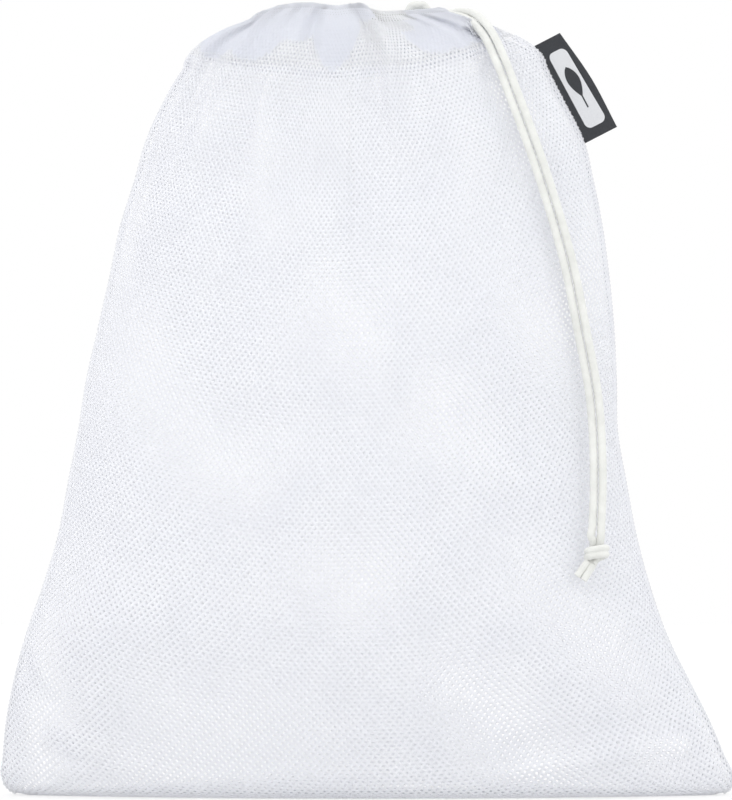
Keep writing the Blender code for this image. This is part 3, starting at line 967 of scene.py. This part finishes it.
def drawcord():
    runs = {end: tunnel_path(end) for end in sheets}
    for end, path in runs.items():
        at_middle = between([MOUTH_MIDDLE], path[:, 0], path)
        left = np.concatenate([path[path[:, 0] <= MOUTH_MIDDLE], at_middle])
        right = np.concatenate([at_middle, path[path[:, 0] >= MOUTH_MIDDLE]])
        for half, part in (("left", left), ("right", right)):
            name = f"{end}_cord_in_tunnel_{half}"
            piece = tube_piece(name, [braided(part)], "cord_braid", f"drawcord_{end}_run")
            mouth_blend(piece)
    front, back = runs["front"][0], runs["back"][0]
    bend = [front, front + (-2.6, 2.2, 0), (front + back) / 2 + (-4.2, 0, 0), back + (-2.6, -2.2, 0), back]
    tube_piece("cord_bend_in_tunnel", [braided(bend)], "cord_braid", "drawcord_left_bend", "upper_bag")


LAP = 1.6                   # the cord's pieces run this far into each other
LAP_SIZE = 0.93


def hanging_cords():
    for end, neck in knot_strands().items():
        tail = tail_paths[end]
        lap = tail[:1] + unit(tail[1] - tail[0]) * LAP
        over = np.concatenate([tunnel_path(end)[-1:], shoulder_paths[end], tail[:1], lap])
        cord = braided(over, end_size=LAP_SIZE)
        piece = tube_piece("cord_over_shoulder_" + end, [cord], "cord_braid", "cord_shoulder_strand_" + end)
        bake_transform(piece)
        below = tail[-1, 2] - neck[:, 2]
        neck = neck[(below > 0.5) & (below < NECK_LENGTH)][::6]
        cord = braided(np.concatenate([tail, neck]), CORD_RADIUS, LAP_SIZE, NECK_SIZE)
        piece = tube_piece("cord_tail_" + end, [cord], "cord_braid", "cord_tail_strand_" + end)
        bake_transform(piece)


# The overhand knot, as places from its middle, and how the doubled cord lies side by side at each.
KNOT_TURNS = [((0.2, 0.6, 6.5), (1, 0, 0)), ((0.2, 1.0, 3.6), (1, 0, 0)), ((-1.2, 2.0, 1.0), (0.8, 0, 0.6)),
              ((-3.5, 1.0, -0.5), (0.1, 0, 1)), ((-2.9, -1.8, -0.1), (0, 0, 1)),
              ((0, -2.9, 0.4), (0, 0, 1)), ((3.3, -1.7, 0.9), (0, 0, 1)), ((4.1, 0.7, 0.6), (0, 0, 1)),
              ((1.9, 2.3, -0.6), (0, 0, 1)), ((-0.6, 1.2, -2.3), (0.7, 0, 0.7)),
              ((-2.2, -0.2, -4.0), (0.85, 0, -0.52))]
KNOT_CORD_RADIUS = 1.4
KNOT_SPREAD = 1.25
KNOT_GRAIN = 0.22           # size of the voxels that merge the knot's two strands
NECK_LENGTH = 3.4           # the hanging strands run this far into the top of the knot
NECK_SIZE = 0.86
CUT_END = [(0, KNOT_SPREAD), (3.75, 1.4), (7.5, 1.55)]      # a cut end's way from the knot, and aside
CUT_END_RADIUS = 1.5


def knot_strands():
    """The two strands' paths through the knot. In the neck they lie as the hanging strands do."""
    low, high = box_mm("cord_knot")
    turns = np.array(KNOT_TURNS, float)
    front, back = tail_paths["front"][-1], tail_paths["back"][-1]
    apart = unit(back - front)
    turned = 1 if apart @ turns[0, 1] > 0 else -1
    places = np.concatenate([[(front + back) / 2], turns[:, 0] + (low + high) / 2])
    beside = np.concatenate([[apart * turned], unit(turns[:, 1])])
    along = distances(places)
    fine = np.linspace(0, along[-1], 300)
    centre = smooth(along, places, fine)
    aside = unit(smooth(along, beside, fine)) * turned
    neck_spread = np.linalg.norm(back - front) / 2
    spread = KNOT_SPREAD + (neck_spread - KNOT_SPREAD) * (1 - smooth_step(fine / 5))
    return {"front": centre - aside * spread[:, None], "back": centre + aside * spread[:, None]}


def knot():
    strands = list(knot_strands().values())
    mesh = tubes_mesh("knot_tubes", [braided(path, KNOT_CORD_RADIUS) for path in strands])
    piece = add_piece("cord_overhand_knot", mesh, "cord_braid", "cord_knot")
    merge = piece.modifiers.new("merge", "REMESH")
    merge.mode = "VOXEL"
    merge.voxel_size = KNOT_GRAIN * MM
    merge.use_smooth_shade = True
    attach(piece, "cord_end")
    boxes = [box_mm("cord_end_" + name) for name in ("left", "right")]
    start = (strands[0][-1] + strands[1][-1]) / 2
    run = unit(np.mean(boxes, axis=(0, 1)) - start)
    across = unit(np.array(KNOT_TURNS[-1][1]))
    for name, sign in (("left", -1), ("right", 1)):
        path = [start + run * reach + across * sign * aside for reach, aside in CUT_END]
        cord = braided(path, CUT_END_RADIUS)
        tube_piece("cord_cut_end_" + name, [cord], "cord_braid", "cord_end_" + name, "cord_end")


# ------------ the label

LABEL_TUCK = 0.8            # the tape's inner edge lies this far inside the seam
FOLD_RADIUS = 0.5           # half the thickness of the folded tape
TAPE_THICKNESS = 0.36


def label():
    """A folded woven tape: its two layers meet in a fold at the outer edge."""
    hinge = joint_place("label_flip")
    down = -unit(np.array(joint_of("label_flip")["axis"], float))
    outward = np.array([-down[2], 0, down[0]])
    points = points_of("side_label") - hinge
    length = (points @ down).max()
    wide = [(points @ outward)[np.abs(points @ down - t * length) < 1].max() for t in (0, 0.5, 1)]
    stations = np.linspace(0, 1, 40)
    widths = smooth([0, 0.5, 1], wide, stations)

    def on_tape(t, share, y):
        """A place t along the label, share across it and y from the middle of its thickness."""
        bow = (0.5 * np.sin(np.pi * t) - 0.25) * share**2
        b = share * np.interp(t, stations, widths)
        place = hinge + down * (t * length)[..., None] + outward * b[..., None]
        place[..., 1] += y + bow
        return place

    rings = []
    for t, width in zip(stations, widths):
        profile = []
        for radius, back in ((FOLD_RADIUS, False), (FOLD_RADIUS - TAPE_THICKNESS, True)):
            arc = [(width - FOLD_RADIUS + radius * math.sin(a), -radius * math.cos(a))
                   for a in np.linspace(0, math.pi, 9)]
            straight = [(b, -radius) for b in np.linspace(-LABEL_TUCK, width - FOLD_RADIUS, 14)[:-1]]
            line = straight + arc + [(b, -y) for b, y in reversed(straight)]
            profile += list(reversed(line)) if back else line
        b, y = np.array(profile).T
        rings.append(on_tape(np.full_like(b, t), b / width, y))
    rings = np.array(rings)
    count = rings.shape[1]
    index = np.arange(rings.shape[0] * count).reshape(-1, count)
    faces = grid_quads(index, np.roll(index, -1, axis=1)).tolist()
    for ring in (index[0].tolist(), index[-1].tolist()):
        faces += [(ring[i], ring[i + 1], ring[-2 - i], ring[-1 - i]) for i in range(count // 2 - 1)]
    mesh = closed_mesh("label_tape", rings.reshape(-1, 3), faces, 40)
    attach(add_piece("label_tape", mesh, "label_tape", "side_label"), "label")
    for name, shape, look, low, high in (("field", rounded_box(0.13, 0.9, 0.24, 0.84), field_look, 0, 0.1),
                                         ("leaf", leaf_outline(), looks["label_tape"], 0.1, 0.16)):
        mesh = plate("label_" + name, on_tape, shape, -FOLD_RADIUS - low, -FOLD_RADIUS - high)
        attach(add_piece("label_printed_" + name, mesh, "label_tape", look=look), "label")


def rounded_box(top, bottom, left, right):
    """An outline in label coordinates, as (along, across)."""
    along, across = 0.06, 0.16          # the corners' radius in each direction
    outline_points = []
    for t, share, start in ((bottom - along, right - across, 0), (top + along, right - across, 90),
                            (top + along, left + across, 180), (bottom - along, left + across, 270)):
        for a in np.radians(np.linspace(start, start + 90, 7)):
            outline_points.append((t + along * math.cos(a), share + across * math.sin(a)))
    return outline_points


def leaf_outline():
    """A plain leaf with a short stem."""
    tip, foot, stem_foot = 0.3, 0.6, 0.72
    turns = np.linspace(0, 1, 16)
    blade = [(tip + (foot - tip) * t, 0.17 * math.sin(math.pi * t**0.8)**0.9 + 0.02 * t) for t in turns]
    side = blade + [(stem_foot, 0.02)]
    return [(t, 0.54 + share) for t, share in side] + [(t, 0.54 - share) for t, share in reversed(side[1:])]


def plate(name, surface, outline_points, low, high):
    """A thin closed plate with that outline, laid on a surface between two heights."""
    shape = np.array(outline_points)
    middle = shape.mean(axis=0)
    count = len(shape)
    points, faces = [], []
    for y in (high, low):
        index = len(points) + np.arange(3 * count).reshape(3, count)
        after = np.roll(index, -1, axis=1)
        for scale in (1.0, 0.66, 0.33):
            t, share = (middle + (shape - middle) * scale).T
            points += list(surface(t, share, y))
        faces += grid_quads(index, after).tolist()
        faces += [(int(i), int(j), len(points)) for i, j in zip(index[-1], after[-1])]
        points.append(surface(middle[:1], middle[1:], y)[0])
    around = np.arange(count)
    rims = np.array([around, around + len(points) // 2])
    faces += grid_quads(rims, np.roll(rims, -1, axis=1)).tolist()
    return closed_mesh(name, points, faces, 40)


side_seams()
bottom_seam()
bar_tacks()
hem_stitches()
label_stitches()
drawcord()
hanging_cords()
knot()
label()


# ------------ stage, light and camera

def area_light(name, place, size, power, colour=(1, 1, 1)):
    """A rectangular lamp that shines at the middle of the bag."""
    lamp = bpy.data.lights.new(name, "AREA")
    lamp.shape = "RECTANGLE"
    lamp.size, lamp.size_y = size, size
    lamp.energy = power
    lamp.color = colour
    made = add_object(name, lamp)
    made.location = place
    made.rotation_euler = (Vector((0, 0, 0.15)) - Vector(place)).to_track_quat("-Z", "Y").to_euler()


STUDIO_LIGHT = 1.29
FLOOR_GLOW = 0.4


def stage():
    mesh = bpy.data.meshes.new("floor")
    mesh.from_pydata([(-3, -3, 0), (3, -3, 0), (3, 3, 0), (-3, 3, 0)], [], [(0, 1, 2, 3)])
    made, shader = new_material("floor_look")
    set_inputs(shader, {"Base Color": (0.46, 0.46, 0.46, 1), "Roughness": 0.9,
                        "Emission Color": (1, 1, 1, 1), "Emission Strength": FLOOR_GLOW})
    mesh.materials.append(made)
    add_object("floor", mesh)
    world = bpy.data.worlds.new("studio")
    world.use_nodes = True
    seen = add_node(world, "LightPath", {}).outputs["Is Camera Ray"]
    strength = add_node(world, "MapRange", {"Value": seen, "To Min": STUDIO_LIGHT, "To Max": 1.0})
    set_inputs(world.node_tree.nodes["Background"], {"Color": (1, 1, 1, 1),
                                                     "Strength": strength.outputs["Result"]})
    bpy.context.scene.world = world
    area_light("key", (-0.9, -2.0, 1.9), 1.2, 8)
    area_light("fill", (1.6, -1.6, 0.9), 1.4, 1.6, (0.94, 0.97, 1))
    bpy.context.scene.view_settings.view_transform = "Standard"


CAMERA_DISTANCE = 4.0
CAMERA_HEIGHT = 0.1619
FIELD_HEIGHT = 0.328


def camera():
    lens = bpy.data.cameras.new("camera")
    lens.sensor_fit = "VERTICAL"
    lens.angle = 2 * math.atan(FIELD_HEIGHT / 2 / CAMERA_DISTANCE)
    made = add_object("camera", lens)
    made.location = (0, -CAMERA_DISTANCE, CAMERA_HEIGHT)
    made.rotation_euler = (math.radians(90), 0, 0)
    bpy.context.scene.camera = made


stage()
camera()
